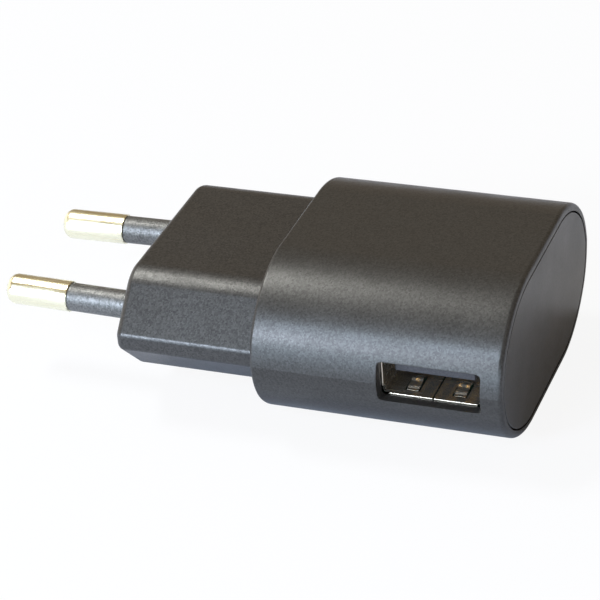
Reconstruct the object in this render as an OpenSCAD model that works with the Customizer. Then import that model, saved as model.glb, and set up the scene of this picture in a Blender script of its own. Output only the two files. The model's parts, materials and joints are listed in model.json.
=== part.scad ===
// USB wall charger with a two-pin plug block, an oval housing and a side USB socket.
// Pieces are drawn with x = 0 on the face that meets the wall socket, pins towards -X,
// the USB socket on the -Y side and z = 0 in the plane of the pins.

/* [Housing] */
// Length of the body without its pins
body_len = 51.2; // [51.2:0.2:60]
// Width of the oval housing
body_w = 39.8; // [39.4:0.2:44]
// Height of the oval housing
body_h = 21.4; // [21.2:0.2:26]
// Half width of the flat along the top and the bottom
flat_half = 7; // [6:0.5:7.5]
// Radius of the rounded long sides
side_r = 9; // [8.5:0.25:10]
// Wall of the housing
wall = 1.6; // [1.4:0.1:1.8]
// Rounding of the front edge of the housing
front_round = 0.5; // [0.3:0.1:1.2]
// Rounding of the rear rim
rim_round = 0.6; // [0.3:0.1:0.9]
// Rim left round the end cap
rim_wall = 1; // [0.9:0.1:1.1]
// Width of the groove round the end cap
groove = 0.2; // [0.1:0.05:0.3]

/* [Plug] */
// Length of the plug block in front of the housing
block_len = 19; // [18.4:0.2:19.2]
// Width of the plug block
block_w = 35.8; // [34.6:0.1:36]
// Height of the plug block
block_h = 14.2; // [13:0.1:14.4]
// Height of the short upright sides of the plug block
block_side = 2; // [1.6:0.2:3]
// Rounding of the long top and bottom edges
block_edge_r = 4.5; // [3.5:0.5:6]
// Rounding round the face that meets the wall socket
face_round = 1; // [0.4:0.1:1.5]
// Length of a pin
pin_len = 19; // [18.5:0.5:19.5]
// Diameter of a bare pin end
pin_d = 4.04; // [4:0.02:4.06]
// Distance between the pins at the face
pin_pitch = 18.6; // [18:0.1:19.2]
// Distance between the tips of the pins
tip_pitch = 17.6; // [17:0.1:18]
// Length of an insulating sleeve in front of the face
sleeve_len = 10; // [10:0.2:11]
// Diameter of an insulating sleeve
sleeve_d = 3.7; // [3.5:0.05:3.7]

/* [USB socket] */
// Middle of the socket from the face that meets the wall socket
usb_x = 42; // [41.6:0.1:42]
// Height of the socket's middle over the plane of the pins
usb_z = 0.7; // [0.2:0.1:0.8]
// Distance of the socket's mouth from the middle plane
usb_mouth = 18.1; // [17.8:0.1:18.2]
// Inner width of the metal shell
shell_w = 12.5; // [12.4:0.05:12.6]
// Inner height of the metal shell
shell_h = 5.12; // [5:0.02:5.2]
// Sheet thickness of the metal shell
sheet = 0.3; // [0.25:0.05:0.35]

/* [Hidden] */
$fn = 48;

// Colours
satin_black = "#4b4c4e";
grained_black = "#454547";
plated_brass = "#d8cdb0";
tin_steel = "#c9c4c0";
spring_bronze = "#b58a4a";
copper = "#b5703c";
ferrite = "#3b3d42";
chip_black = "#232326";
board_green = "#2f5a3c";

// Room left between loose pieces
gap = 0.1;
// Turn between two rings of a rounded edge
round_step = 30;

// Oval section: a small arc round each long side, tangent to a large arc up to the flat
half_w = body_w / 2;
half_h = body_h / 2;
side_y = half_w - side_r;
shoulder_r = (pow(side_y - flat_half, 2) + half_h * half_h - side_r * side_r) / (2 * (half_h - side_r));
join_a = atan2(shoulder_r - half_h, side_y - flat_half);
oval_step = 6;

// Plug block section: 45 degree slopes from the flats to short upright sides
block_slope = block_w / 2 + block_side / 2;
block_step = 7.5;
block_wall = 1.6;
front_wall = 1.8;
flange = 1.5;
block_rear = block_len + front_wall;
block_gap = 0.12;

// End cap
cap_plate = 1.7;
cap_skirt = 0.8;
cap_lip = 1;

// Pins
face_wall = 2.4;
boss = 2.6;
boss_r = 3.4;
pin_lean = asin((pin_pitch - tip_pitch) / 2 / pin_len);
neck_r = 1.45;
pin_tip_r = 1.2;
collar_r = 2.8;
collar = 1.2;
tail_r = 1.2;
tail = 4;
bore_depth = face_wall + boss;
bore_gap = 0.05;

// USB socket
shell_len = 12.5;
shell_out_w = shell_w + 2 * sheet;
shell_out_h = shell_h + 2 * sheet;
shell_corner = 0.5;
seam = 0.1;
lip_len = 0.5;
lip_half_w = shell_w / 2 - 0.7;
lip_half_h = shell_h / 2 - 0.9;
window_w = 12.7;
window_h = 5.2;
window_r = 0.6;
insulator_len = 14;
tongue_w = 10.2;
tongue_t = 1.8;
tongue_low = 0;
tongue_front = 1.2;
tongue_root = 9.4;
stand_off = 0.6;

// Spring fingers of the shell
finger_x = 3;
finger_w = 1.5;
finger_root = 1.2;
finger_step = 1.8;
finger_bump = 3.5;
finger_tip = 4.4;
finger_lift = 0.22;
finger_rise = 0.45;
finger_t = 0.25;
finger_side_gap = 0.45;
finger_end_gap = 0.2;

// Contact beams under the tongue
beam_w = 1;
beam_t = 0.2;
beam_root = 9.1;
beam_bump = 3.6;
beam_tip = 2;
beam_drop = 0.35;
beam_lift = 0.3;
slot_depth = 1.1;
slot_side_gap = 0.15;

// Circuit board
board_t = 1.2;
board_top = usb_z - shell_out_h / 2 - stand_off;
board_low = board_top - board_t;
board_half = 16.2;
board_front = 22.8;
board_rear = 48.4;
nose_front = 11;
nose_half = 11.2;
rail = 1;
rail_in = board_half - 0.9;
rail_front = 24;
rail_rear = 34;

// Transformer
coil_x = 33.2;
coil_y = 3.8;
coil_z = board_top + 5.5;
core_w = 13.3;
core_h = 6.2;
core_half = 6.5;
core_back = 1.9;
core_leg = 2;
core_mid = 3.1;
tube_w = 4.7;
tube_h = 7.8;
spool_half = 4.5;
spool_w = 8.9;
spool_top = 5.1;
spool_end = 0.7;
coil_rail = 3.2;
rail_low = 0.4;
lead_r = 0.3;
lead_hole_r = 0.45;
lead_pitch = 3.4;

// Electrolytic capacitors
cap_d = 6.3;
cap_len = 10;
cap_x = 12.6;
cap_y = 3.9;
can_d = 8;
can_h = 9.4;
can_pos = [44.2, 8.2];
crimp = 0.25;

function turned(c, r, a) = c + r * [cos(a), sin(a)];

function both_sides(half) =
    concat(half, [for (i = [len(half) - 1:-1:0]) [-half[i][0], half[i][1]]]);

// Section of the housing, drawn in by inset
function oval(inset) = both_sides([for (a = [-90:oval_step:90])
    abs(a) < join_a
        ? turned([side_y, 0], side_r - inset, a)
        : turned([flat_half, sign(a) * (half_h - shoulder_r)], shoulder_r - inset, a)]);

// Section of the plug block, drawn in by inset
function block(inset) =
    let (
        w = block_w / 2 - inset,
        h = block_h / 2 - inset,
        slope = block_slope - inset * sqrt(2),
        r = block_edge_r - inset,
        c = [slope - h - r * tan(22.5), h - r]
    )
    both_sides(concat(
        [for (a = [-90:block_step:-45]) turned([c[0], -c[1]], r, a)],
        [[w, w - slope], [w, slope - w]],
        [for (a = [45:block_step:90]) turned(c, r, a)]));

// Rings of a rounded edge from its end inwards: [distance from the end, inset]
function edge_rings(r) = [for (t = [90:-round_step:0]) [r * (1 - sin(t)), r * (1 - cos(t))]];

function reversed(list) = [for (i = [len(list) - 1:-1:0]) list[i]];

// Y of the middle of the housing's side wall at height z
function wall_y(z) = side_y + sqrt(pow(side_r - wall / 2, 2) - z * z);

// Sets the drawn pieces on their resting plane, centred under the whole charger
module in_place() {
    translate([(pin_len - body_len) / 2, 0, half_h]) children();
}

// Stands a (Y, Z) outline along X, from x0 to x1
module along_x(x0, x1) {
    translate([x0, 0, 0]) rotate([90, 0, 90]) linear_extrude(x1 - x0) children();
}

// Stands an (X, Z) outline along Y, from y0 to y1
module along_y(y0, y1) {
    translate([0, y1, 0]) rotate([90, 0, 0]) linear_extrude(y1 - y0) children();
}

// Stands a (Y, Z) outline along X, centred on x0
module across_x(x0, width) {
    along_x(x0 - width / 2, x0 + width / 2) children();
}

// Closed solid through (Y, Z) outlines of equal length, each at its own x
module loft(xs, outlines) {
    n = len(outlines[0]);
    last = (len(xs) - 1) * n;
    points = [for (i = [0:len(xs) - 1], p = outlines[i]) [xs[i], p[0], p[1]]];
    sides = [for (i = [0:len(xs) - 2], j = [0:n - 1])
        let (a = i * n + j, b = i * n + (j + 1) % n)
        each [[a, a + n, b + n], [a, b + n, b]]];
    front = [for (j = [0:n - 1]) j];
    rear = [for (j = [n - 1:-1:0]) last + j];
    polyhedron(points, concat([front], sides, [rear]));
}

module round_rect(w, h, r) {
    square([w - 2 * r, h], center = true);
    square([w, h - 2 * r], center = true);
    for (x = [-1, 1], y = [-1, 1])
        translate([x * (w / 2 - r), y * (h / 2 - r)]) circle(r);
}

module ring(outer, inner) {
    difference() {
        polygon(outer);
        polygon(inner);
    }
}

// A box given by its lowest corner and its size
module box(corner, size) {
    translate(corner) cube(size);
}

// A box on the board, given by its middle, its size and its height over the board
module on_board(pos, size, lift = 0) {
    box([pos[0] - size[0] / 2, pos[1] - size[1] / 2, board_top + lift], size);
}

// A box under the board, hanging a little below it
module under_board(pos, size, drop = 0) {
    box([pos[0] - size[0] / 2, pos[1] - size[1] / 2, board_low - drop - size[2]], size);
}

// Moves to a pin's root and turns so that +Z leaves the plug along the pin
module at_pin(side) {
    translate([0, side * pin_pitch / 2, 0]) rotate([0, 0, side * pin_lean]) rotate([0, -90, 0]) children();
}

// Moves to the socket's mouth: X across it, Y into it, Z up
module at_socket() {
    translate([usb_x, -usb_mouth, usb_z]) children();
}

// Outer pieces
module housing() {
    front_edge = edge_rings(front_round);
    rear_edge = reversed(edge_rings(rim_round));
    rail_len = rail_rear - rail_front;
    color(satin_black) in_place() {
        difference() {
            loft(
                concat([for (e = front_edge) block_len + e[0]], [for (e = rear_edge) body_len - e[0]]),
                [for (e = concat(front_edge, rear_edge)) oval(e[1])]);
            along_x(block_rear, body_len + 1) polygon(oval(wall));
            along_x(body_len - cap_plate, body_len + 1) polygon(oval(rim_wall));
            along_x(block_len - 1, block_rear + 1) polygon(block(-block_gap));
            translate([usb_x, 0, usb_z]) {
                along_y(-half_w - 1, -half_w + 2 * wall) round_rect(window_w, window_h, window_r);
                along_y(-usb_mouth - gap, -half_w + 3 * wall)
                    square([shell_out_w + 2 * gap, shell_out_h + 2 * gap], center = true);
            }
        }
        for (side = [0, 1], z = [board_top + gap, board_low - gap - rail]) mirror([0, side, 0])
            box([rail_front, rail_in, z], [rail_len, wall_y(z + rail / 2) - rail_in, rail]);
    }
}

module plug_block() {
    face_edge = edge_rings(face_round);
    color(grained_black) in_place() difference() {
        union() {
            difference() {
                union() {
                    loft(
                        concat([for (e = face_edge) e[0]], [block_rear + flange / 2]),
                        concat([for (e = face_edge) block(e[1])], [block(0)]));
                    along_x(block_rear, block_rear + flange) polygon(oval(wall + 2 * gap));
                }
                along_x(face_wall, block_rear + flange + 1) polygon(block(block_wall));
            }
            for (side = [-1, 1]) at_pin(side) translate([0, 0, -bore_depth])
                cylinder(r = boss_r, h = boss + 1);
        }
        for (side = [-1, 1]) at_pin(side) translate([0, 0, -bore_depth - 1])
            cylinder(d = sleeve_d + 2 * bore_gap, h = bore_depth + 2);
    }
}

module end_cap() {
    color(satin_black) in_place() {
        plate_x = body_len - cap_plate;
        along_x(plate_x, body_len) polygon(oval(rim_wall + groove));
        along_x(plate_x - cap_skirt, plate_x) ring(oval(wall + gap), oval(wall + gap + cap_lip));
    }
}

// Pins and their sleeves
module pin(side) {
    tip = [for (a = [0:15:90]) turned([pin_d / 2 - pin_tip_r, pin_len - pin_tip_r], pin_tip_r, a)];
    color(plated_brass) in_place() at_pin(side) rotate_extrude() polygon(concat(
        [
            [0, -bore_depth - collar - tail],
            [tail_r, -bore_depth - collar - tail],
            [tail_r, -bore_depth - collar],
            [collar_r, -bore_depth - collar],
            [collar_r, -bore_depth],
            [neck_r, -bore_depth],
            [neck_r, sleeve_len],
            [pin_d / 2, sleeve_len]
        ],
        tip,
        [[0, pin_len]]));
}

module pin_sleeve(side) {
    color(grained_black) in_place() at_pin(side) translate([0, 0, -bore_depth]) difference() {
        cylinder(d = sleeve_d, h = bore_depth + sleeve_len);
        translate([0, 0, -1]) cylinder(r = neck_r + bore_gap, h = bore_depth + sleeve_len + 2);
    }
}

// Leaf on the board's nose, standing up to the tail of a pin
module contact_spring(side) {
    leaf = 0.3;
    tail_x = bore_depth + collar + tail + gap;
    foot_x = 14.5;
    top_z = 1.4;
    color(spring_bronze) in_place() translate([0, side * pin_pitch / 2, 0]) along_y(-1.4, 1.4) polygon([
        [nose_front, board_top],
        [foot_x, board_top],
        [foot_x, board_top + leaf],
        [nose_front + leaf, board_top + leaf],
        [tail_x + leaf, -1],
        [tail_x + leaf, top_z],
        [tail_x, top_z],
        [tail_x, -1],
        [nose_front, board_top + leaf]
    ]);
}

// Circuit board and the parts on it
module main_board() {
    color(board_green) in_place() difference() {
        translate([0, 0, board_low]) linear_extrude(board_t) polygon([
            [nose_front, -nose_half],
            [board_front, -nose_half],
            [board_front, -board_half],
            [board_rear, -board_half],
            [board_rear, board_half],
            [board_front, board_half],
            [board_front, nose_half],
            [nose_front, nose_half]
        ]);
        at_leads(board_low - 1, board_t + 2, lead_hole_r);
    }
}

// Upright rods at the places of the transformer's pins
module at_leads(z, h, r) {
    for (end = [-1, 1], i = [-1.5:1:1.5])
        translate([coil_x + end * (spool_half + 0.6), coil_y + i * lead_pitch, z]) cylinder(r = r, h = h);
}

// Leads of an axial part lying along Y or X, bent down to the board
module bent_lead(pos, z, towards) {
    translate([pos[0], pos[1], board_top]) cylinder(r = lead_r, h = z - board_top + lead_r);
    translate([pos[0], pos[1], z]) rotate(towards) cylinder(r = 0.8 * lead_r, h = 1.2);
}

module fuse_resistor() {
    r = 1.2;
    half = 2.4;
    pos = [18.6, 9.3];
    z = board_top + r + gap;
    color("#7d8f7a") in_place() {
        translate([pos[0] - half, pos[1], z]) rotate([0, 90, 0]) cylinder(r = r, h = 2 * half);
        bent_lead([pos[0] - half - 0.9, pos[1]], z, [0, 90, 0]);
        bent_lead([pos[0] + half + 0.9, pos[1]], z, [0, -90, 0]);
    }
}

// Outline of half an electrolytic can, with its crimp near the lead end
function can_half(r, h) = [
    [0, 0], [r - 0.3, 0], [r, 0.3], [r, 1.2], [r - crimp, 1.5], [r, 1.8], [r, h - 0.3], [r - 0.3, h], [0, h]
];

module input_capacitor(side) {
    r = cap_d / 2;
    z = board_top + r + gap;
    lead_x = cap_x + cap_len + 0.8;
    color("#2b3340") in_place() {
        translate([cap_x + cap_len, side * cap_y, z]) rotate([0, -90, 0])
            rotate_extrude() polygon(can_half(r, cap_len));
        for (y = [-1.25, 1.25]) bent_lead([lead_x, side * cap_y + y], z, [0, -90, 0]);
    }
}

module output_capacitor() {
    color("#33402f") in_place() translate([can_pos[0], can_pos[1], board_top])
        rotate_extrude() polygon(can_half(can_d / 2, can_h));
}

module filter_choke() {
    r = 2.7;
    waist = 2.1;
    h = 6.4;
    end = 0.9;
    color(copper) in_place() translate([26.6, -6.4, board_top]) rotate_extrude() polygon([
        [0, 0], [r, 0], [r, end], [waist, end], [waist, h - end], [r, h - end], [r, h], [0, h]
    ]);
}

module bridge_rectifier() {
    pos = [27, -9];
    color(chip_black) in_place() {
        under_board(pos, [4.7, 3.9, 2.3], 0.2);
        for (x = [-1.25, 1.25], y = [-2.3, 2.3]) under_board([pos[0] + x, pos[1] + y], [0.6, 1.2, 0.6]);
    }
}

module switching_transistor() {
    r = 2.3;
    flat_y = 0.9;
    foot = 1.8;
    pos = [25.6, 13.2];
    color(chip_black) in_place() translate([pos[0], pos[1], board_top]) {
        difference() {
            translate([0, 0, foot]) cylinder(r = r, h = 4.6);
            box([-r - 1, flat_y, foot - 1], [2 * r + 2, r, 7]);
        }
        for (x = [-1.27, 0, 1.27]) box([x - 0.25, -0.25, 0], [0.5, 0.5, foot]);
    }
}

module controller_chip() {
    pos = [33.2, 4];
    color(chip_black) in_place() {
        under_board(pos, [4.9, 3.9, 1.4], 0.15);
        for (i = [-1.5:1:1.5], y = [-2.5, 2.5])
            under_board([pos[0] + i * 1.27, pos[1] + y], [0.4, 1.2, 0.5]);
    }
}

module optocoupler() {
    pos = [30, -11.9];
    color(chip_black) in_place() {
        on_board(pos, [4.6, 5.6, 3.2], 0.5);
        for (x = [-1.27, 1.27], y = [-2.9, 2.9]) on_board([pos[0] + x, pos[1] + y], [0.5, 0.4, 2]);
    }
}

module safety_capacitor() {
    r = 2.9;
    foot = 1;
    pos = [32.4, -6.2];
    color("#2f5f9a") in_place() translate([pos[0], pos[1], board_top]) {
        translate([0, 0, foot + r]) rotate([90, 0, 0]) cylinder(r = r, h = 2.4, center = true);
        for (x = [-1.6, 1.6]) translate([x, 0, 0]) cylinder(r = lead_r, h = foot + r);
    }
}

module output_diode() {
    r = 1.3;
    half = 2.3;
    pos = [43.4, 0.6];
    z = board_top + r + gap;
    color(chip_black) in_place() {
        translate([pos[0], pos[1], z]) rotate([90, 0, 0]) cylinder(r = r, h = 2 * half, center = true);
        bent_lead([pos[0], pos[1] - half - 0.9], z, [-90, 0, 0]);
        bent_lead([pos[0], pos[1] + half + 0.9], z, [90, 0, 0]);
    }
}

module chip_resistors() {
    color("#1d1d20") in_place() for (i = [0:4]) under_board([26 + 3 * i, 12.5], [2, 1.25, 0.5]);
}

module chip_capacitors() {
    color("#a98a62") in_place() for (i = [0:3]) under_board([36 + 3 * i, -3], [2, 1.25, 0.9]);
}

// Transformer: two E-shaped ferrite halves round a bobbin with a taped winding
module transformer_core(end) {
    window = (core_w - core_mid) / 2 - core_leg;
    color(ferrite) in_place() translate([coil_x, coil_y, coil_z]) difference() {
        box([end > 0 ? 0 : -core_half, -core_w / 2, -core_h / 2], [core_half, core_w, core_h]);
        for (side = [-1, 1]) translate([0, side * (core_mid + window) / 2, 0])
            cube([2 * (core_half - core_back), window, core_h + 2], center = true);
    }
}

module transformer_bobbin() {
    foot_z = board_top - coil_z + rail_low;
    rail_top = -core_h / 2 - gap;
    color("#2c2b29") in_place() translate([coil_x, coil_y, coil_z]) difference() {
        union() {
            across_x(0, 2 * spool_half) square([tube_w, tube_h], center = true);
            for (end = [-1, 1]) {
                across_x(end * (spool_half - spool_end / 2), spool_end)
                    translate([0, (spool_top + foot_z) / 2])
                        square([spool_w, spool_top - foot_z], center = true);
                across_x(end * (spool_half - spool_end + coil_rail / 2), coil_rail)
                    translate([0, (rail_top + foot_z) / 2])
                        square([core_w, rail_top - foot_z], center = true);
            }
        }
        across_x(0, 3 * spool_half) square([core_mid + 2 * gap, core_h + 2 * gap], center = true);
    }
}

module transformer_winding() {
    color("#d9b43a") in_place() translate([coil_x, coil_y, coil_z])
        across_x(0, 2 * (spool_half - spool_end) - 2 * gap) difference() {
            round_rect(spool_w - 0.4, 2 * spool_top - 0.6, 2);
            square([tube_w + gap, tube_h + gap], center = true);
        }
}

module transformer_pins() {
    color(tin_steel) in_place() at_leads(board_low - 1, board_t + rail_low + 1, lead_r);
}

// USB socket: metal shell with its lips cut apart at the corners, insulator, spring fingers and contacts
module usb_shell() {
    finger_span = finger_tip - finger_root + 2 * finger_end_gap;
    color(tin_steel) in_place() at_socket() {
        difference() {
            along_y(0, shell_len) round_rect(shell_out_w, shell_out_h, shell_corner);
            along_y(-1, shell_len + 1) round_rect(shell_w, shell_h, shell_corner / 2);
            for (x = [-finger_x, finger_x])
                box([x - finger_w / 2 - finger_side_gap, finger_root - finger_end_gap, -shell_out_h],
                    [finger_w + 2 * finger_side_gap, finger_span, 2 * shell_out_h]);
            box([-seam / 2, -1, -shell_out_h], [seam, shell_len + 2, shell_out_h]);
            for (x = [0, 1], z = [0, 1]) mirror([x, 0, 0]) mirror([0, 0, z])
                box([lip_half_w, -1, lip_half_h], [shell_w, lip_len + 1, shell_h]);
        }
        for (x = [-shell_out_w / 2, shell_out_w / 2 - sheet])
            box([x, 5, -shell_out_h / 2 - stand_off], [sheet, 2, stand_off + shell_corner]);
    }
}

module usb_insulator() {
    block_w_in = shell_w - 2 * gap;
    block_h_in = shell_h - 2 * gap;
    color("#5c5b5f") in_place() at_socket() difference() {
        union() {
            box([-tongue_w / 2, tongue_front, tongue_low], [tongue_w, tongue_root + 1, tongue_t]);
            box([-block_w_in / 2, tongue_root, -block_h_in / 2],
                [block_w_in, insulator_len - tongue_root, block_h_in]);
            box([-shell_out_w / 2, shell_len, -shell_out_h / 2 - stand_off],
                [shell_out_w, insulator_len - shell_len, shell_out_h + stand_off]);
        }
        for (i = [0:3]) box([beam_x(i) - beam_w / 2 - slot_side_gap, beam_tip - 0.4, tongue_low - 1],
            [beam_w + 2 * slot_side_gap, tongue_root - beam_tip + 0.4, slot_depth + 1]);
    }
}

// Spring finger rooted near the mouth, stepped and humped into the socket; level is +1 above, -1 below
module finger(side, level) {
    base = shell_h / 2;
    path = [
        [finger_root, base],
        [finger_step - 0.15, base],
        [finger_step + 0.15, base - finger_lift],
        [finger_bump - 0.5, base - finger_lift],
        [finger_bump - 0.2, base - finger_rise],
        [finger_bump + 0.2, base - finger_rise],
        [finger_tip, base - 0.1]
    ];
    color(tin_steel) in_place() at_socket() mirror([0, 0, level > 0 ? 0 : 1])
        across_x(side * finger_x, finger_w)
            polygon(concat(path, [for (p = reversed(path)) p + [0, finger_t]]));
}

// Places of the four contact beams across the socket
function beam_x(i) = [-3.5, -1, 1, 3.5][i];

module contact_beam(i) {
    color(spring_bronze) in_place() at_socket() across_x(beam_x(i), beam_w) polygon([
        [beam_root, tongue_low + beam_lift],
        [beam_root, tongue_low + beam_lift + beam_t],
        [beam_bump, tongue_low - beam_drop + beam_t],
        [beam_tip, tongue_low + beam_t],
        [beam_tip, tongue_low],
        [beam_bump, tongue_low - beam_drop]
    ]);
}

housing();
plug_block();
end_cap();
pin(1);  // pin_left
pin(-1);  // pin_right
pin_sleeve(1);  // pin_sleeve_left
pin_sleeve(-1);  // pin_sleeve_right
contact_spring(1);  // contact_spring_left
contact_spring(-1);  // contact_spring_right
main_board();
fuse_resistor();
input_capacitor(1);  // input_capacitor_left
input_capacitor(-1);  // input_capacitor_right
filter_choke();
bridge_rectifier();
switching_transistor();
controller_chip();
optocoupler();
safety_capacitor();
transformer_core(-1);  // transformer_core_front
transformer_core(1);  // transformer_core_rear
transformer_bobbin();
transformer_winding();
transformer_pins();
output_diode();
output_capacitor();
chip_resistors();
chip_capacitors();
usb_shell();
usb_insulator();
finger(-1, -1);  // finger_lower_left
finger(1, -1);  // finger_lower_right
finger(-1, 1);  // finger_upper_left
finger(1, 1);  // finger_upper_right
contact_beam(0);  // contact_power
contact_beam(1);  // contact_data_minus
contact_beam(2);  // contact_data_plus
contact_beam(3);  // contact_ground
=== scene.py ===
import json
import math

import bmesh
import bpy
from mathutils import Matrix, Vector


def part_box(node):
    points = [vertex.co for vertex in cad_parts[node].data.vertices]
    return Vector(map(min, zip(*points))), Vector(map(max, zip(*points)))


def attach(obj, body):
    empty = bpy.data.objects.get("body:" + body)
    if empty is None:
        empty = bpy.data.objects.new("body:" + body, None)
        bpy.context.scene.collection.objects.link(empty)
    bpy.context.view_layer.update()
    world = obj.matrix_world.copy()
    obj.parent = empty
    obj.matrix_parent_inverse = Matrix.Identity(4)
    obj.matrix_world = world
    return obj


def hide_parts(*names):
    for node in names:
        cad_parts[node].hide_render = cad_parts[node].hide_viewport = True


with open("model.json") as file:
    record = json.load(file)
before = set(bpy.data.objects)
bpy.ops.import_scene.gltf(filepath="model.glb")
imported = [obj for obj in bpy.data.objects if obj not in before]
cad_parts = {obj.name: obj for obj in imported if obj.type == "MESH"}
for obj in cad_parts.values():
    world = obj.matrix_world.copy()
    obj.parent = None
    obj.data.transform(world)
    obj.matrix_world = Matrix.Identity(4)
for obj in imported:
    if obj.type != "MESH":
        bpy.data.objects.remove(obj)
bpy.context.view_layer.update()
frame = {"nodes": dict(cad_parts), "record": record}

# Sizes in millimetres, measured from the face that meets the wall socket, from the middle plane
# and from the plane of the pins
MM = 0.001
FACE_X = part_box("plug_block")[0].x
MID_Z = (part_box("housing")[0].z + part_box("housing")[1].z) / 2


def place(point):
    """Millimetres of a point of the frame."""
    return Vector((point.x - FACE_X, point.y, point.z - MID_Z)) / MM


def corners(node):
    """Lowest and highest corner of a CAD node in millimetres, to the nearest micrometre."""
    return [[round(c, 3) for c in place(corner)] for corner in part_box(node)]


def middle_x(node):
    """Middle of a CAD node along the charger, in millimetres."""
    low, high = corners(node)
    return (low[0] + high[0]) / 2


# How far cutting tools stand out past what they cut
CUT_OVER = 1.0
TOOL_REACH = 8.0

# Points closer than this are merged, in millimetres
MERGE = 0.0001

# What counts as the same place, in millimetres, and as the same direction, a cosine
NEAR = 0.01
ALONG = 0.99

# Housing, which starts where the bare length of the plug block ends
(BLOCK_LEN, _, _), (BODY_LEN, HALF_W, HALF_H) = corners("housing")
FLAT_HALF = 7.0
SIDE_R = 9.0
WALL = 1.6
FRONT_ROUND = 0.5
RIM_ROUND = 0.6
RIM_WALL = 1.0
GROOVE = 0.2
SIDE_Y = HALF_W - SIDE_R
SHOULDER_R = ((SIDE_Y - FLAT_HALF) ** 2 + HALF_H ** 2 - SIDE_R ** 2) / (2 * (HALF_H - SIDE_R))
JOIN_A = math.atan2(SHOULDER_R - HALF_H, SIDE_Y - FLAT_HALF)
SHOULDER_STEPS = 24
SIDE_STEPS = 30
# The mould's parting line lies one step of the round side above its middle
PARTING_A = 2 * JOIN_A / SIDE_STEPS
PARTING_NEAR_A = PARTING_A / 10
PARTING_Z = SIDE_R * math.sin(PARTING_A)
PARTING_OUT = 0.15
PARTING_REACH = 2.5
PARTING_BLEND = 0.05
POCKET_GAP = 0.1
POCKET_END = 15.0
POCKET_R = 0.3

# Plug block, whose slopes stand at 45 degrees
FRONT_WALL = 1.8
BLOCK_REAR = BLOCK_LEN + FRONT_WALL
BLOCK_W = 35.8
BLOCK_H = 14.2
BLOCK_SIDE = 2.0
HALF_SLOPE = math.tan(math.radians(45 / 2))
BLOCK_EDGE_R = 4.5
BLOCK_WALL = 1.6
BLOCK_GAP = 0.12
FACE_ROUND = 1.0
FACE_WALL = 2.4
FLANGE = 1.5
FLANGE_GAP = 0.2
RIDGE_ROUND = 0.35
BOSS_R = 3.4
BOSS_FRONT = 1.4
BORE_DEPTH = 5.0
BORE_GAP = 0.05
BORE_STEPS = 48

# End cap
CAP_PLATE = 1.7
CAP_SKIRT = 0.8
CAP_LIP = 1.0
CAP_EDGE = 0.12
CAP_GAP = 0.1

# Pins and their sleeves
PIN_PITCH = 18.6
PIN_LEN = 19.0
PIN_R = 2.02
PIN_TIP_R = 1.2
PIN_NECK_R = 1.45
PIN_CHAMFER = 0.08
TIP_PITCH = 17.6
PIN_LEAN = math.asin((PIN_PITCH - TIP_PITCH) / 2 / PIN_LEN)
PIN_COLLAR = 1.2
PIN_COLLAR_R = 2.8
PIN_TAIL = 4.0
PIN_TAIL_R = 1.2
PIN_STEPS = 64
SLEEVE_LEN = 10.0
SLEEVE_R = 1.85
# Rounded end of a sleeve: each point's distance back from the end and in from the outside
SLEEVE_END = [(0.15, 0), (0.05, 0.04), (0, 0.12)]

# USB can and its window
SHELL_W = 12.5
SHELL_H = 5.12
SHEET = 0.3
(_, USB_Y, _), (_, SHELL_REAR, SHELL_TOP) = corners("usb_shell")
USB_X = middle_x("usb_shell")
USB_Z = SHELL_TOP - SHEET - SHELL_H / 2
SHELL_LEN = SHELL_REAR - USB_Y
SHELL_CORNER = 0.5
SEAM = 0.2
LIP_LEN = 0.5
LIP_ROUND = 0.08
LIP_CUT_W = 0.7
LIP_CUT_H = 0.9
LIP_HALF_W = SHELL_W / 2 - LIP_CUT_W
LIP_HALF_H = SHELL_H / 2 - LIP_CUT_H
WINDOW_W = 13.0
WINDOW_H = 5.2
WINDOW_R = 0.6
WINDOW_DROP = 0.16
WINDOW_Z = USB_Z - WINDOW_DROP
WINDOW_EDGE = 0.14
WINDOW_LOOP = 0.25
WINDOW_END = 16.5

# Spring fingers of the can
FINGER_X = middle_x("finger_upper_right") - USB_X
FINGER_W = 1.5
FINGER_ROOT = 1.2
FINGER_STEP = 1.8
FINGER_BUMP = 3.5
FINGER_TIP = 4.4
FINGER_LIFT = 0.22
FINGER_RISE = 0.45
FINGER_T = 0.25
FINGER_SIDE_GAP = 0.2
FINGER_END_GAP = 0.2
FINGER_WINDOW_R = 0.3
FINGER_SLOPE = 0.15
HUMP_FOOT = 0.5
HUMP_TOP = 0.2
FINGER_TIP_IN = 0.1
# Points of a finger's outline that are bends, and how round
FINGER_BENDS = [(2, 0.08), (4, 0.08), (5, 0.1), (8, 0.1), (9, 0.08), (11, 0.08)]
STRIP_EDGE = 0.03

# Tongue and the block behind it
TONGUE_W = 10.2
TONGUE_T = 1.8
TONGUE_FRONT = 1.2
TONGUE_ROOT = 9.4
TONGUE_ROUND = 0.14
INSULATOR_LEN = 14.0
INSULATOR_GAP = 0.1
INSULATOR_ROUND = 0.15
INSULATOR_COLLAR = 0.4
INSULATOR_COLLAR_R = 0.12
STAND_OFF = 0.6
SLOT_HALF_W = 0.65
SLOT_FRONT = 0.4
SLOT_DEPTH = 1.1

# Contact beams
BEAMS = ("contact_power", "contact_data_minus", "contact_data_plus", "contact_ground")
BEAM_X = {node: middle_x(node) - USB_X for node in BEAMS}
BEAM_W = 1.0
BEAM_T = 0.2
BEAM_ROOT = 9.1
BEAM_BUMP = 3.6
BEAM_TIP = 2.0
BEAM_DROP = 0.35
BEAM_LIFT = 0.3
# Points of a beam's outline that are bends, and how round
BEAM_BENDS = [(2, 0.5), (5, 0.6)]


def at(x, y, z):
    """A place in the frame, in metres, from millimetres."""
    return Vector((FACE_X + x * MM, y * MM, MID_Z + z * MM))


def along(x, y, z):
    """A step in metres, from millimetres."""
    return Vector((x, y, z)) * MM


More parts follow.
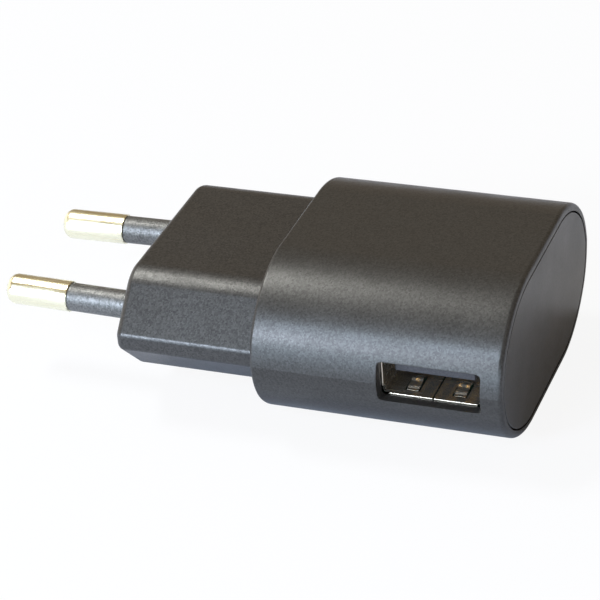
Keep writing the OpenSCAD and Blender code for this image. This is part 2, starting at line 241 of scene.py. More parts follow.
def middle(part):
    """Middle of a vertex, an edge or a face, in millimetres."""
    verts = [part] if isinstance(part, bmesh.types.BMVert) else part.verts
    return place(sum((v.co for v in verts), Vector()) / len(verts))


def heading(edge):
    """Direction of an edge, with the signs left off."""
    step = (edge.verts[1].co - edge.verts[0].co).normalized()
    return Vector((abs(step.x), abs(step.y), abs(step.z)))


def choose(kind, test):
    """Selects only the parts of the edited mesh, VERT, EDGE or FACE, that pass the test."""
    mesh = bmesh.from_edit_mesh(bpy.context.edit_object.data)
    bpy.ops.mesh.select_mode(type=kind)
    bpy.ops.mesh.select_all(action="DESELECT")
    for part in {"VERT": mesh.verts, "EDGE": mesh.edges, "FACE": mesh.faces}[kind]:
        part.select_set(bool(test(part)))
    mesh.select_flush_mode()
    bmesh.update_edit_mesh(bpy.context.edit_object.data)


def push(step):
    """Extrudes what is selected by a step in millimetres."""
    bpy.ops.mesh.extrude_region_move(TRANSFORM_OT_translate={"value": along(*step)})


def swing(degrees, centre, axis, steps):
    """Spins what is selected about a centre in millimetres."""
    bpy.ops.mesh.spin(steps=steps, angle=math.radians(degrees), center=at(*centre), axis=axis)


def round_off(width, segments, affect="EDGES"):
    """Bevels the selected edges or corners by a width in millimetres."""
    bpy.ops.mesh.bevel(offset=width * MM, segments=segments, affect=affect, clamp_overlap=False)


def close_outline():
    """Joins the two loose ends of the edited outline and fills it with one face."""
    choose("VERT", lambda v: len(v.link_edges) == 1)
    bpy.ops.mesh.edge_face_add()
    bpy.ops.mesh.select_all(action="SELECT")
    bpy.ops.mesh.edge_face_add()


def settle(piece):
    """Leaves edit mode with doubles merged and every face pointing outwards."""
    bpy.ops.mesh.select_all(action="SELECT")
    bpy.ops.mesh.remove_doubles(threshold=MERGE * MM)
    bpy.ops.mesh.normals_make_consistent(inside=False)
    bpy.ops.object.mode_set(mode="OBJECT")
    return piece


def begin(name):
    """Names the primitive just added, puts its place into its mesh and opens it for editing."""
    piece = bpy.context.object
    piece.name = name
    bpy.ops.object.transform_apply(location=True, rotation=True, scale=True)
    bpy.ops.object.mode_set(mode="EDIT")
    return piece


def start_point(name, place_mm):
    """A new piece in edit mode, of one vertex: a small plane drawn together into its middle."""
    bpy.ops.object.select_all(action="DESELECT")
    bpy.ops.mesh.primitive_plane_add(size=MM, location=at(*place_mm))
    piece = begin(name)
    bpy.ops.mesh.select_mode(type="VERT")
    bpy.ops.mesh.select_all(action="SELECT")
    bpy.ops.mesh.merge(type="CENTER")
    return piece


def start_box(name, low, high):
    """A new piece in edit mode, of one box between two corners in millimetres."""
    low, high = Vector(low), Vector(high)
    bpy.ops.object.select_all(action="DESELECT")
    bpy.ops.mesh.primitive_cube_add(size=1, location=at(*(low + high) / 2), scale=along(*(high - low)))
    return begin(name)


def pick(piece):
    """Makes a piece the only one selected, and the active one."""
    bpy.ops.object.select_all(action="DESELECT")
    bpy.context.view_layer.objects.active = piece
    piece.select_set(True)


def combine(piece, tool, operation="DIFFERENCE"):
    """Cuts a tool out of a piece, or joins it on, and removes the tool."""
    pick(piece)
    bpy.ops.object.modifier_add(type="BOOLEAN")
    cut = piece.modifiers[-1]
    cut.operation = operation
    cut.object = tool
    cut.solver = "EXACT"
    bpy.ops.object.modifier_apply(modifier=cut.name)
    bpy.data.objects.remove(tool)


def polish(piece, degrees=32):
    """Smooth shading up to an angle, with flat faces kept flat next to rounded edges."""
    pick(piece)
    bpy.ops.object.shade_smooth_by_angle(angle=math.radians(degrees))
    bpy.ops.object.modifier_add(type="WEIGHTED_NORMAL")
    piece.modifiers[-1].keep_sharp = True
    bpy.ops.object.modifier_apply(modifier=piece.modifiers[-1].name)


def on_parting(vert):
    """True on the parting line of the mould, a little above the middle of each round side."""
    spot = middle(vert)
    return abs(math.atan2(spot.z, abs(spot.y) - SIDE_Y) - PARTING_A) < PARTING_NEAR_A


def oval_face(name, x, inset):
    """The housing's section at x, drawn in by inset: two flats, four shoulders and two round sides."""
    drop = HALF_H - SHOULDER_R
    shoulder = 90 - math.degrees(JOIN_A)
    side = 2 * math.degrees(JOIN_A)
    piece = start_point(name, (x, FLAT_HALF, HALF_H - inset))
    swing(shoulder, (x, FLAT_HALF, drop), (1, 0, 0), SHOULDER_STEPS)
    swing(side, (x, SIDE_Y, 0), (1, 0, 0), SIDE_STEPS)
    swing(shoulder, (x, FLAT_HALF, -drop), (1, 0, 0), SHOULDER_STEPS)
    push((0, -2 * FLAT_HALF, 0))
    swing(shoulder, (x, -FLAT_HALF, -drop), (1, 0, 0), SHOULDER_STEPS)
    swing(side, (x, -SIDE_Y, 0), (1, 0, 0), SIDE_STEPS)
    swing(shoulder, (x, -FLAT_HALF, drop), (1, 0, 0), SHOULDER_STEPS)
    close_outline()
    choose("VERT", on_parting)
    bpy.ops.transform.resize(value=(1, 1 + PARTING_OUT / HALF_W, 1), use_proportional_edit=True,
                             proportional_edit_falloff="SHARP", proportional_size=PARTING_REACH * MM)
    bpy.ops.mesh.select_all(action="SELECT")
    return piece


def block_face(name, x, grow):
    """The plug block's section at x, let out by grow: 45 degree slopes from flats to upright sides."""
    half_w = BLOCK_W / 2 + grow
    half_h = BLOCK_H / 2 + grow
    upright = BLOCK_SIDE / 2 + grow * HALF_SLOPE
    bpy.ops.object.select_all(action="DESELECT")
    bpy.ops.mesh.primitive_plane_add(size=2, location=at(x, 0, 0), rotation=(0, math.radians(90), 0))
    bpy.context.object.scale = (half_h * MM, half_w * MM, 1)
    piece = begin(name)
    choose("VERT", lambda v: True)
    round_off(half_h - upright, 1, "VERTICES")
    choose("VERT", lambda v: abs(middle(v).z) > half_h - NEAR)
    round_off((BLOCK_EDGE_R + grow) * HALF_SLOPE, 12, "VERTICES")
    bpy.ops.mesh.select_all(action="SELECT")
    return piece


def faces_at(x):
    """Selects the flat faces across the charger at x."""
    choose("FACE", lambda f: abs(f.normal.x) > ALONG and abs(middle(f).x - x) < NEAR)


def rim_at(x):
    """Selects the edges of the outline at x."""
    choose("EDGE", lambda e: all(abs(place(v.co).x - x) < NEAR for v in e.verts))


def on_outer_face(point):
    """True where a point lies on the outside of the housing's round side."""
    return abs(math.hypot(abs(point.y) - SIDE_Y, point.z) - SIDE_R) < 2 * NEAR + PARTING_OUT


def make_housing():
    """Oval tube with a rounded front edge, a seat for the end cap, a plug opening and a USB window."""
    housing = oval_face("housing_moulding", BLOCK_LEN, 0)
    push((BODY_LEN - BLOCK_LEN, 0, 0))
    rim_at(BLOCK_LEN)
    round_off(FRONT_ROUND, 8)
    rim_at(BODY_LEN)
    round_off(RIM_ROUND, 5)
    # An edge loop close to each end of the window, so that its corners don't pull at the sheen beyond
    for x in (USB_X - WINDOW_W / 2 - WINDOW_LOOP, USB_X + WINDOW_W / 2 + WINDOW_LOOP):
        bpy.ops.mesh.select_all(action="SELECT")
        bpy.ops.mesh.bisect(plane_co=at(x, 0, 0), plane_no=(1, 0, 0))
    choose("EDGE", lambda e: all(on_parting(v) for v in e.verts))
    bpy.ops.mesh.mark_sharp()
    faces_at(BODY_LEN)
    bpy.ops.mesh.inset(thickness=(RIM_WALL - RIM_ROUND) * MM)
    push((-CAP_PLATE, 0, 0))
    bpy.ops.mesh.inset(thickness=(WALL - RIM_WALL) * MM)
    push((BLOCK_REAR - BODY_LEN + CAP_PLATE, 0, 0))
    settle(housing)

    opening = block_face("plug_opening", BLOCK_LEN - CUT_OVER, BLOCK_GAP)
    push((BLOCK_REAR - BLOCK_LEN + 2 * CUT_OVER, 0, 0))
    combine(housing, settle(opening))

    reach = SHELL_W / 2 + SHEET + POCKET_GAP
    rise = SHELL_H / 2 + SHEET + POCKET_GAP
    pocket = start_box("socket_pocket", (USB_X - reach, USB_Y - POCKET_GAP, USB_Z - rise),
                       (USB_X + reach, -POCKET_END, USB_Z + rise))
    choose("EDGE", lambda e: heading(e).y > ALONG)
    round_off(POCKET_R, 3)
    combine(housing, settle(pocket))

    window = start_box("usb_window", (USB_X - WINDOW_W / 2, -HALF_W - CUT_OVER, WINDOW_Z - WINDOW_H / 2),
                       (USB_X + WINDOW_W / 2, -WINDOW_END, WINDOW_Z + WINDOW_H / 2))
    choose("EDGE", lambda e: heading(e).y > ALONG)
    round_off(WINDOW_R, 6)
    combine(housing, settle(window))

    pick(housing)
    bpy.ops.object.mode_set(mode="EDIT")
    choose("EDGE", lambda e: e.calc_face_angle(0) > math.radians(45)
           and abs(middle(e).x - USB_X) < WINDOW_W / 2 + 5 * NEAR
           and abs(middle(e).z - WINDOW_Z) < WINDOW_H / 2 + 5 * NEAR
           and all(on_outer_face(place(v.co)) for v in e.verts))
    round_off(WINDOW_EDGE, 2)
    bpy.ops.object.mode_set(mode="OBJECT")
    polish(housing)
    return housing


def on_ridge(point):
    """True on the corner line between a slope and an upright side of the plug block."""
    drawn_in = BLOCK_W / 2 - abs(point.y)
    corner = BLOCK_SIDE / 2 - drawn_in * HALF_SLOPE
    return drawn_in < FACE_ROUND + NEAR and abs(abs(point.z) - corner) < NEAR


def pin_line(side):
    """Root and direction of a pin, which leans towards the other one."""
    root = Vector((0, side * PIN_PITCH / 2, 0))
    return root, Vector((-math.cos(PIN_LEAN), -side * math.sin(PIN_LEAN), 0))


def turned_outline(name, side, points):
    """Outline in the upright plane through a pin: each point is (distance along the pin, radius)."""
    root, line = pin_line(side)
    spots = [root + line * a + Vector((0, 0, r)) for a, r in points]
    piece = start_point(name, spots[0])
    for here, there in zip(spots, spots[1:]):
        push(there - here)
    return piece


def turn_round(side, steps):
    """Turns the edited outline once round the pin's own line."""
    root, line = pin_line(side)
    bpy.ops.mesh.select_all(action="SELECT")
    swing(360, root, line, steps)


def make_plug_block():
    """Flat block with sloping sides, hollow from behind, with a flange and a bore for each pin."""
    block = block_face("plug_block_moulding", 0, 0)
    push((BLOCK_REAR, 0, 0))
    rim_at(0)
    round_off(FACE_ROUND, 6)
    choose("EDGE", lambda e: all(on_ridge(place(v.co)) for v in e.verts)
           and e.verts[0].co.y * e.verts[1].co.y > 0
           and (e.verts[0].co.z - MID_Z) * (e.verts[1].co.z - MID_Z) > 0)
    round_off(RIDGE_ROUND, 4)
    settle(block)

    flange = oval_face("flange", BLOCK_REAR, WALL + FLANGE_GAP)
    push((FLANGE, 0, 0))
    combine(block, settle(flange), "UNION")
    hollow = block_face("plug_hollow", FACE_WALL, -BLOCK_WALL)
    push((BLOCK_REAR, 0, 0))
    combine(block, settle(hollow))
    for side in (1, -1):
        boss = turned_outline("boss", side, [
            (-BORE_DEPTH, 0), (-BORE_DEPTH, BOSS_R), (-BOSS_FRONT, BOSS_R), (-BOSS_FRONT, 0)])
        turn_round(side, BORE_STEPS)
        combine(block, settle(boss), "UNION")
        back = -BORE_DEPTH - CUT_OVER
        bore_r = SLEEVE_R + BORE_GAP
        bore = turned_outline("bore", side, [
            (back, 0), (back, bore_r), (CUT_OVER, bore_r), (CUT_OVER, 0)])
        turn_round(side, BORE_STEPS)
        combine(block, settle(bore))
    polish(block)
    return block


def make_end_cap():
    """Flat lid inside the rear rim, with a skirt behind it."""
    cap = oval_face("end_cap_lid", BODY_LEN - CAP_PLATE, RIM_WALL + GROOVE)
    push((CAP_PLATE, 0, 0))
    rim_at(BODY_LEN)
    round_off(CAP_EDGE, 3)
    faces_at(BODY_LEN - CAP_PLATE)
    bpy.ops.mesh.inset(thickness=(WALL + CAP_GAP - RIM_WALL - GROOVE) * MM)
    push((-CAP_SKIRT, 0, 0))
    bpy.ops.mesh.inset(thickness=CAP_LIP * MM)
    push((CAP_SKIRT, 0, 0))
    settle(cap)
    polish(cap)
    return cap


def make_pin(name, side):
    """Turned pin: tail, collar, neck inside the sleeve, and the bare end with its rounded tip."""
    root, line = pin_line(side)
    collar = -BORE_DEPTH - PIN_COLLAR
    pin = turned_outline(name, side, [
        (collar - PIN_TAIL, 0), (collar - PIN_TAIL, PIN_TAIL_R), (collar, PIN_TAIL_R),
        (collar, PIN_COLLAR_R), (-BORE_DEPTH, PIN_COLLAR_R), (-BORE_DEPTH, PIN_NECK_R),
        (SLEEVE_LEN, PIN_NECK_R), (SLEEVE_LEN, PIN_R - PIN_CHAMFER),
        (SLEEVE_LEN + PIN_CHAMFER, PIN_R), (PIN_LEN - PIN_TIP_R, PIN_R)])
    centre = root + line * (PIN_LEN - PIN_TIP_R) + Vector((0, 0, PIN_R - PIN_TIP_R))
    swing(90, centre, line.cross(Vector((0, 0, 1))), 10)
    push((0, 0, PIN_TIP_R - PIN_R))
    turn_round(side, PIN_STEPS)
    settle(pin)
    polish(pin)
    return pin


def make_sleeve(name, side):
    """Insulating sleeve over the inner half of a pin, with a slightly rounded end."""
    bore = PIN_NECK_R + BORE_GAP
    end = [(SLEEVE_LEN - back, SLEEVE_R - inward) for back, inward in SLEEVE_END]
    sleeve = turned_outline(name, side, [
        (-BORE_DEPTH, bore), (-BORE_DEPTH, SLEEVE_R), *end, (SLEEVE_LEN, bore)])
    choose("VERT", lambda v: len(v.link_edges) == 1)
    bpy.ops.mesh.edge_face_add()
    turn_round(side, PIN_STEPS)
    settle(sleeve)
    polish(sleeve)
    return sleeve


def socket(x, y, z):
    """Millimetres of a place in the USB socket: across it, into it and up from its middle."""
    return Vector((USB_X + x, USB_Y + y, USB_Z + z))


def make_usb_shell():
    """Folded sheet-metal can: four lips cut apart at the corners, a butt seam below, finger windows."""
    w, h = SHELL_W / 2 + SHEET, SHELL_H / 2 + SHEET
    shell = start_box("usb_shell_folded", socket(-w, 0, -h), socket(w, SHELL_LEN, h))
    choose("EDGE", lambda e: heading(e).y > ALONG)
    round_off(SHELL_CORNER, 5)
    choose("FACE", lambda f: abs(f.normal.y) > ALONG)
    bpy.ops.mesh.inset(thickness=SHEET * MM)
    bpy.ops.mesh.bridge_edge_loops()
    choose("EDGE", lambda e: all(abs(place(v.co).y - USB_Y) < NEAR for v in e.verts)
           and len(set(abs(f.normal.y) > ALONG for f in e.link_faces)) == 2)
    round_off(LIP_ROUND, 3)
    settle(shell)
    for x in (-FINGER_X, FINGER_X):
        half = FINGER_W / 2 + FINGER_SIDE_GAP
        window = start_box("finger_window", socket(x - half, FINGER_ROOT - FINGER_END_GAP, -TOOL_REACH),
                           socket(x + half, FINGER_TIP + FINGER_END_GAP, TOOL_REACH))
        choose("EDGE", lambda e: heading(e).z > ALONG)
        round_off(FINGER_WINDOW_R, 4)
        combine(shell, settle(window))
    for side in (1, -1):
        for level in (1, -1):
            across = sorted((side * LIP_HALF_W, side * TOOL_REACH))
            upward = sorted((level * LIP_HALF_H, level * TOOL_REACH))
            notch = start_box("corner_notch", socket(across[0], -CUT_OVER, upward[0]),
                              socket(across[1], LIP_LEN, upward[1]))
            combine(shell, settle(notch))
    seam = start_box("butt_seam", socket(-SEAM / 2, -CUT_OVER, -TOOL_REACH),
                     socket(SEAM / 2, SHELL_LEN + CUT_OVER, 0))
    combine(shell, settle(seam))
    polish(shell)
    return shell


def make_insulator():
    """Moulded block at the back of the socket, with the tongue and a slot for each contact."""
    w, h = SHELL_W / 2 - INSULATOR_GAP, SHELL_H / 2 - INSULATOR_GAP
    insulator = start_box("usb_insulator_moulding", socket(-w, TONGUE_ROOT, -h),
                          socket(w, INSULATOR_LEN, h))
    choose("EDGE", lambda e: True)
    round_off(INSULATOR_ROUND, 2)
    settle(insulator)
    tongue = start_box("tongue", socket(-TONGUE_W / 2, TONGUE_FRONT, 0),
                       socket(TONGUE_W / 2, TONGUE_ROOT + CUT_OVER, TONGUE_T))
    choose("EDGE", lambda e: middle(e).y < USB_Y + TONGUE_FRONT + NEAR
           or heading(e).y > ALONG)
    round_off(TONGUE_ROUND, 3)
    combine(insulator, settle(tongue), "UNION")
    w, h = w + INSULATOR_COLLAR, h + INSULATOR_COLLAR
    collar = start_box("collar", socket(-w, SHELL_LEN, -h - STAND_OFF), socket(w, INSULATOR_LEN, h))
    choose("EDGE", lambda e: True)
    round_off(INSULATOR_COLLAR_R, 2)
    combine(insulator, settle(collar), "UNION")
    for x in BEAM_X.values():
        slot = start_box("slot", socket(x - SLOT_HALF_W, BEAM_TIP - SLOT_FRONT, -CUT_OVER),
                         socket(x + SLOT_HALF_W, TONGUE_ROOT, SLOT_DEPTH))
        combine(insulator, settle(slot))
    polish(insulator)
    return insulator


def bent_strip(name, x, width, outline, bends):
    """Strip of sheet across the socket at x: its side outline, with the bends listed rounded off."""
    spots = [socket(x - width / 2, y, z) for y, z in outline]
    strip = start_point(name, spots[0])
    for here, there in zip(spots, spots[1:]):
        push(there - here)
    close_outline()
    for bend, radius in bends:
        spot = socket(x - width / 2, *outline[bend])
        choose("VERT", lambda v: (place(v.co) - spot).length < NEAR)
        round_off(radius, 4, "VERTICES")
    bpy.ops.mesh.select_all(action="SELECT")
    push((width, 0, 0))
    choose("EDGE", lambda e: e.calc_face_angle(0) > math.radians(60))
    round_off(STRIP_EDGE, 2)
    settle(strip)
    polish(strip)
    return strip


def make_finger(name, side, level):
    """Spring finger: rooted near the mouth, stepped and humped into the socket, with a lifted tip."""
    base = SHELL_H / 2
    path = [
        (FINGER_ROOT, base), (FINGER_STEP - FINGER_SLOPE, base),
        (FINGER_STEP + FINGER_SLOPE, base - FINGER_LIFT), (FINGER_BUMP - HUMP_FOOT, base - FINGER_LIFT),
        (FINGER_BUMP - HUMP_TOP, base - FINGER_RISE), (FINGER_BUMP + HUMP_TOP, base - FINGER_RISE),
        (FINGER_TIP, base - FINGER_TIP_IN)]
    outline = path + [(y, z + FINGER_T) for y, z in reversed(path)]
    return bent_strip(name, side * FINGER_X, FINGER_W, [(y, level * z) for y, z in outline], FINGER_BENDS)


def make_contact(name, x):
    """Contact beam in its slot of the tongue, humped downwards near its tip."""
    outline = [
        (BEAM_ROOT, BEAM_LIFT), (BEAM_ROOT, BEAM_LIFT + BEAM_T), (BEAM_BUMP, BEAM_T - BEAM_DROP),
        (BEAM_TIP, BEAM_T), (BEAM_TIP, 0), (BEAM_BUMP, -BEAM_DROP)]
    return bent_strip(name, x, BEAM_W, outline, BEAM_BENDS)


# Finishes
# Size in millimetres of the clouds of shine on plastic
CLOUD = 6.0
# Width of a metal's streaks, as a share of their length
STREAK_STRETCH = 0.06
# Noise stays mostly between these two values
NOISE_LOW = 0.3
NOISE_HIGH = 0.7


def tone(code):
    """Linear colour of an sRGB hex code."""
    parts = [int(code[i:i + 2], 16) / 255 for i in (1, 3, 5)]
    return [c / 12.92 if c <= 0.04045 else ((c + 0.055) / 1.055) ** 2.4 for c in parts] + [1.0]


def add(tree, kind, inputs=None, **settings):
    """Adds one shader node: its own settings, and its inputs as values or as sockets to link."""
    made = tree.nodes.new("ShaderNode" + kind)
    for key, value in settings.items():
        setattr(made, key, value)
    for key, value in (inputs or {}).items():
        if isinstance(value, bpy.types.NodeSocket):
            tree.links.new(value, made.inputs[key])
        else:
            made.inputs[key].default_value = value
    return made


def new_finish(name):
    """An empty material and its tree."""
    finish = bpy.data.materials.new(name)
    finish.use_nodes = True
    finish.node_tree.nodes.clear()
    return finish, finish.node_tree


def grained_plastic(name, dark, light, grain, depth, rough, shine=(0.3, 0.7), below=None):
    """Moulded plastic whose grain, sized in mm, varies in tone and shine; below dims the lower half."""
    finish, tree = new_finish(name)
    spot = add(tree, "TexCoord").outputs["Object"]
    pits = add(tree, "TexVoronoi", {"Vector": spot, "Scale": 1 / (grain * MM)})
    dents = add(tree, "TexNoise", {"Vector": spot, "Scale": 1 / (grain * MM), "Detail": 1.0})
    cloud = add(tree, "TexNoise", {"Vector": spot, "Scale": 1 / (CLOUD * MM), "Detail": 3.0})
    colour = add(tree, "MixRGB", {"Fac": pits.outputs["Color"],
                                  "Color1": tone(dark), "Color2": tone(light)})
    gloss = add(tree, "MapRange", {
        "Value": cloud.outputs["Fac"], "From Min": NOISE_LOW, "From Max": NOISE_HIGH,
        "To Min": rough - 0.03, "To Max": rough + 0.03})
    sheen = add(tree, "MapRange", {"Value": pits.outputs["Color"],
                                   "To Min": shine[0], "To Max": shine[1]}).outputs["Result"]
    if below:
        height = add(tree, "SeparateXYZ", {0: spot}).outputs["Z"]
        step = add(tree, "MapRange", {
            "Value": height, "From Min": MID_Z + (PARTING_Z - PARTING_BLEND) * MM,
            "From Max": MID_Z + (PARTING_Z + PARTING_BLEND) * MM, "To Min": below})
        sheen = add(tree, "Math", {0: sheen, 1: step.outputs["Result"]},
                    operation="MULTIPLY").outputs["Value"]
    relief = add(tree, "Bump", {"Height": dents.outputs["Fac"], "Distance": depth * MM})
    skin = add(tree, "BsdfPrincipled", {
        "Base Color": colour.outputs["Color"], "Roughness": gloss.outputs["Result"], "IOR": 1.55,
        "Specular IOR Level": sheen, "Normal": relief.outputs["Normal"]})
    add(tree, "OutputMaterial", {"Surface": skin.outputs["BSDF"]})
    return finish


def smooth_coat(name, dark, light, patch, depth, rough):
    """Dipped, shrunk or lacquered skin: soft patches of tone and shallow waves, sizes in mm."""
    finish, tree = new_finish(name)
    spot = add(tree, "TexCoord").outputs["Object"]
    waves = add(tree, "TexNoise", {"Vector": spot, "Scale": 1 / (patch * MM), "Detail": 2.0})
    colour = add(tree, "MixRGB", {"Fac": waves.outputs["Fac"],
                                  "Color1": tone(dark), "Color2": tone(light)})
    gloss = add(tree, "MapRange", {
        "Value": waves.outputs["Fac"], "From Min": NOISE_LOW, "From Max": NOISE_HIGH,
        "To Min": rough - 0.04, "To Max": rough + 0.04})
    relief = add(tree, "Bump", {"Height": waves.outputs["Fac"], "Distance": depth * MM})
    skin = add(tree, "BsdfPrincipled", {
        "Base Color": colour.outputs["Color"], "Roughness": gloss.outputs["Result"], "IOR": 1.5,
        "Normal": relief.outputs["Normal"]})
    add(tree, "OutputMaterial", {"Surface": skin.outputs["BSDF"]})
    return finish


def plated_metal(name, pale, deep, rough, streak, depth, metallic=1.0):
    """Plated or rolled metal: faint drawing streaks along X, their width and depth in mm."""
    finish, tree = new_finish(name)
    spot = add(tree, "TexCoord").outputs["Object"]
    drawn = add(tree, "Mapping", {"Vector": spot, "Scale": (STREAK_STRETCH, 1.0, 1.0)})
    lines = add(tree, "TexNoise", {"Vector": drawn.outputs["Vector"], "Scale": 1 / (streak * MM),
                                   "Detail": 3.0})
    colour = add(tree, "MixRGB", {"Fac": lines.outputs["Fac"],
                                  "Color1": tone(deep), "Color2": tone(pale)})
    gloss = add(tree, "MapRange", {
        "Value": lines.outputs["Fac"], "From Min": NOISE_LOW, "From Max": NOISE_HIGH,
        "To Min": rough * 0.7, "To Max": rough * 1.3})
    relief = add(tree, "Bump", {"Height": lines.outputs["Fac"], "Distance": depth * MM})
    skin = add(tree, "BsdfPrincipled", {
        "Base Color": colour.outputs["Color"], "Roughness": gloss.outputs["Result"],
        "Metallic": metallic, "Normal": relief.outputs["Normal"]})
    add(tree, "OutputMaterial", {"Surface": skin.outputs["BSDF"]})
    return finish


# Mould pits, sintered grain and drawing lines are under 0.1 mm on real surfaces, too fine to show from
# here, so they are drawn coarser: pits and grain at 0.1 to 0.3 mm, lines at 0.15 to 0.5 mm
FINISHES = {
    # Satin black polycarbonate from an eroded mould: a soft broad sheen broken up by sparkling grain
    "housing_plastic": grained_plastic("satin_polycarbonate_black", "#272625", "#2d2c2b",
                                       0.20, 0.010, 0.35, (0.33, 0.67), 0.82),
    # The same plastic from a coarser mould: a stronger grain and a slightly duller sheen
    "plug_plastic": grained_plastic("eroded_polycarbonate_black", "#262525", "#2e2d2c",
                                    0.20, 0.012, 0.36, (0.28, 0.72)),
    # Lid of the same plastic, finely matted: smooth and even
    "cap_plastic": grained_plastic("matt_polycarbonate_black", "#272625", "#2b2a29",
                                   0.20, 0.006, 0.34, (0.4, 0.6)),
    # Moulded nylon over the pins: dark grey and slightly waxy, with bright specks
    "sleeve_plastic": grained_plastic("moulded_nylon_grey", "#3a3a39", "#50504f",
                                      0.20, 0.012, 0.46, (0.4, 1.6)),
    # Nickel over brass: near white, warm in the shadows, softly blurred by faint drawing lines
    "pin_plating": plated_metal("nickel_plated_brass", "#fbf8e2", "#f4efcf", 0.265, 0.40, 0.001),
    # Tin plate: bright sheet with faint rolling lines
    "shell_steel": plated_metal("bright_tin_plate", "#e2d8ca", "#d8cbb6", 0.22, 0.50, 0.0005, 0.93),
    # Glass-filled nylon: mid grey, dull
    "insulator_plastic": grained_plastic("glass_filled_nylon_grey", "#333338", "#39393e",
                                         0.12, 0.006, 0.45),
    # Gold flash over bronze: warm and bright
    "contact_gold": plated_metal("gold_flashed_bronze", "#e6bd70", "#cc9b50", 0.28, 0.15, 0.002, 0.9),
    # Rolled phosphor bronze: warm brown metal with fine rolling lines
    "spring_bronze": plated_metal("rolled_phosphor_bronze", "#c08f58", "#9c6f3e", 0.30, 0.20, 0.003),
    # Green solder mask over laminate: glossy, with slight waves, drawn darker as painted shade through the
    # finger windows
    "board_laminate": smooth_coat("solder_mask_green", "#16301f", "#1f3d29", 1.5, 0.010, 0.30),
    # Ground ferrite: dark, dull grey
    "ferrite": grained_plastic("ground_ferrite", "#2b2c30", "#3c3e43", 0.12, 0.010, 0.55),
    # Moulded phenolic: brown black with a dull gloss
    "bobbin_plastic": grained_plastic("moulded_phenolic", "#1f1d1b", "#2b2927", 0.15, 0.006, 0.42),
    # Polyester tape: clear yellow film over wire
    "winding_tape": smooth_coat("polyester_tape_yellow", "#c79f2a", "#dcb842", 2.0, 0.060, 0.28),
    # Shrunk vinyl sleeve: smooth and dark
    "can_sleeve": smooth_coat("shrunk_vinyl_dark", "#1b2230", "#262f40", 2.5, 0.030, 0.30),
    # Moulded epoxy: fine matt black
    "chip_epoxy": grained_plastic("moulded_epoxy_black", "#161617", "#232325", 0.10, 0.006, 0.50),
    # Dipped epoxy: glossy blue, a little uneven
    "disc_epoxy": smooth_coat("dipped_epoxy_blue", "#1f4f8c", "#2b62a4", 1.5, 0.060, 0.25),
    # Enamelled copper wire: reddish, with the ripple of its turns
    "choke_copper": plated_metal("enamelled_copper_wire", "#c07a48", "#8f5230", 0.28, 0.25, 0.020),
    # Cement coat on a resistor: pale green grey, dull
    "resistor_body": grained_plastic("cement_coat_green", "#66785f", "#7f917a", 0.30, 0.020, 0.60),
    # Fired ceramic: tan, dense
    "chip_ceramic": grained_plastic("fired_ceramic_tan", "#8f7550", "#b0946a", 0.20, 0.006, 0.45),
    # Tinned copper leads: pale and slightly dull
    "tinned_lead": plated_metal("tinned_copper", "#d2cecb", "#a9a5a2", 0.30, 0.15, 0.004),
}
SLOT_OF = {row["node"]: row["material_slot"] for row in frame["record"]["subparts"]}


def dress(piece, node, body="charger"):
    """Puts a finished piece in the place of its CAD node, with that node's finish."""
    piece.data.materials.clear()
    piece.data.materials.append(FINISHES[SLOT_OF[node]])
    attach(piece, body)
    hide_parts(node)


for node, solid in frame["nodes"].items():
    solid.data.materials.clear()
    solid.data.materials.append(FINISHES[SLOT_OF[node]])

dress(make_housing(), "housing")
dress(make_plug_block(), "plug_block")
dress(make_end_cap(), "end_cap")
for word, side in (("left", 1), ("right", -1)):
    dress(make_pin("pin_%s_turned" % word, side), "pin_" + word)
    dress(make_sleeve("sleeve_%s_moulded" % word, side), "pin_sleeve_" + word)
dress(make_usb_shell(), "usb_shell")
dress(make_insulator(), "usb_insulator")
for word, level in (("lower", -1), ("upper", 1)):
    for hand, side in (("left", -1), ("right", 1)):
        node = "finger_%s_%s" % (word, hand)
        dress(make_finger(node + "_strip", side, level), node, node)
for node, x in BEAM_X.items():
    dress(make_contact(node + "_beam", x), node, node)

# Stage: to the camera the floor is nearly white, and the rest of it is lit paper that keeps the shadow
FLOOR_WHITE = 0.9

bpy.ops.object.select_all(action="DESELECT")
bpy.ops.mesh.primitive_plane_add(size=4.0, location=(0, 0, 0))
floor = bpy.context.object
floor.name = "floor"
paper, tree = new_finish("white_paper_sweep")
path = add(tree, "LightPath").outputs
seen = add(tree, "Math", {0: path["Is Camera Ray"], 1: FLOOR_WHITE}, operation="MULTIPLY")
matt = add(tree, "BsdfDiffuse", {"Color": tone("#dadeea")})
glow = add(tree, "Emission", {"Color": (1, 1, 1, 1), "Strength": 1.0})
mixed = add(tree, "MixShader", {0: seen.outputs[0], 1: matt.outputs[0], 2: glow.outputs[0]})
add(tree, "OutputMaterial", {"Surface": mixed.outputs[0]})
floor.data.materials.append(paper)

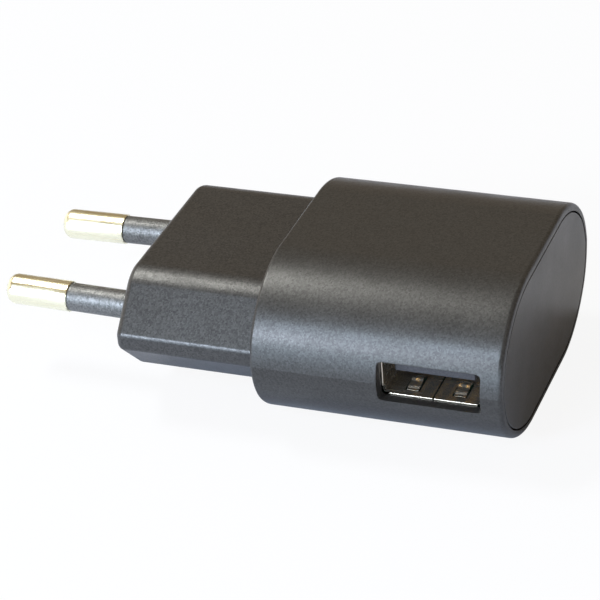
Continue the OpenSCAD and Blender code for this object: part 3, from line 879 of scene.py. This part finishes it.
world = bpy.data.worlds.new("studio_room")
bpy.context.scene.world = world
world.use_nodes = True
tree = world.node_tree
tree.nodes.clear()
height = add(tree, "SeparateXYZ", {0: add(tree, "TexCoord").outputs["Generated"]})
rise = add(tree, "MapRange", {"Value": height.outputs["Z"], "From Min": 0.0, "From Max": 0.5},
           interpolation_type="SMOOTHSTEP")
room = add(tree, "MixRGB", {"Fac": rise.outputs["Result"],
                            "Color1": tone("#a19486"), "Color2": tone("#9c8c74")})
ambient = add(tree, "Background", {"Color": room.outputs["Color"], "Strength": 1.0})
white = add(tree, "Background", {"Color": (1, 1, 1, 1), "Strength": 1.0})
behind = add(tree, "MixShader", {0: add(tree, "LightPath").outputs["Is Camera Ray"],
                                 1: ambient.outputs[0], 2: white.outputs[0]})
add(tree, "OutputWorld", {"Surface": behind.outputs[0]})

# Soft boxes, all at one distance in metres
LAMP_DISTANCE = 0.7


def lamp(name, azimuth, elevation, size, power, colour):
    """Soft box at a bearing in degrees, azimuth from -Y towards +X: its size in metres, power in watts."""
    data = bpy.data.lights.new(name, "AREA")
    data.shape = "RECTANGLE"
    data.size, data.size_y = size
    data.energy = power
    data.color = tone(colour)[:3]
    box = bpy.data.objects.new(name, data)
    bpy.context.scene.collection.objects.link(box)
    a, e = math.radians(azimuth), math.radians(elevation)
    away = Vector((math.sin(a) * math.cos(e), -math.cos(a) * math.cos(e), math.sin(e)))
    box.location = Vector((0, 0, MID_Z)) + away * LAMP_DISTANCE
    box.rotation_euler = away.to_track_quat("Z", "Y").to_euler()


lamp("window_low", -29, 22, (0.18, 0.125), 3.60, "#e0edff")
lamp("window_high", -16, 40, (0.16, 0.125), 1.60, "#d6eaff")
lamp("low_wall", 0, 7, (2.4, 0.17), 7.3, "#d2eaff")
lamp("skylight", -100, 60, (0.20, 0.125), 2.80, "#fffff8")
lamp("left_wall", -97, 15, (0.8, 0.4), 1.0, "#fffaf0")

# Camera at the photograph's viewing angle, fitted to the pins, the edges and the outline
CAMERA_SPOT = (129.75, -265.28, 170.1)
CAMERA_AHEAD = (-0.3329, 0.7912, -0.5131)
CAMERA_UP = (-0.1193, 0.5044, 0.8552)
FOCAL_LENGTH = 155.5

lens = bpy.data.cameras.new("camera")
lens.sensor_width = 36.0
lens.lens = FOCAL_LENGTH
lens.clip_start = 0.01
camera = bpy.data.objects.new("camera", lens)
bpy.context.scene.collection.objects.link(camera)
ahead = Vector(CAMERA_AHEAD).normalized()
right = ahead.cross(Vector(CAMERA_UP)).normalized()
turn = Matrix((right, right.cross(ahead), -ahead)).transposed().to_4x4()
camera.matrix_world = Matrix.Translation(at(*CAMERA_SPOT)) @ turn
bpy.context.scene.camera = camera

bpy.context.scene.view_settings.view_transform = "Standard"
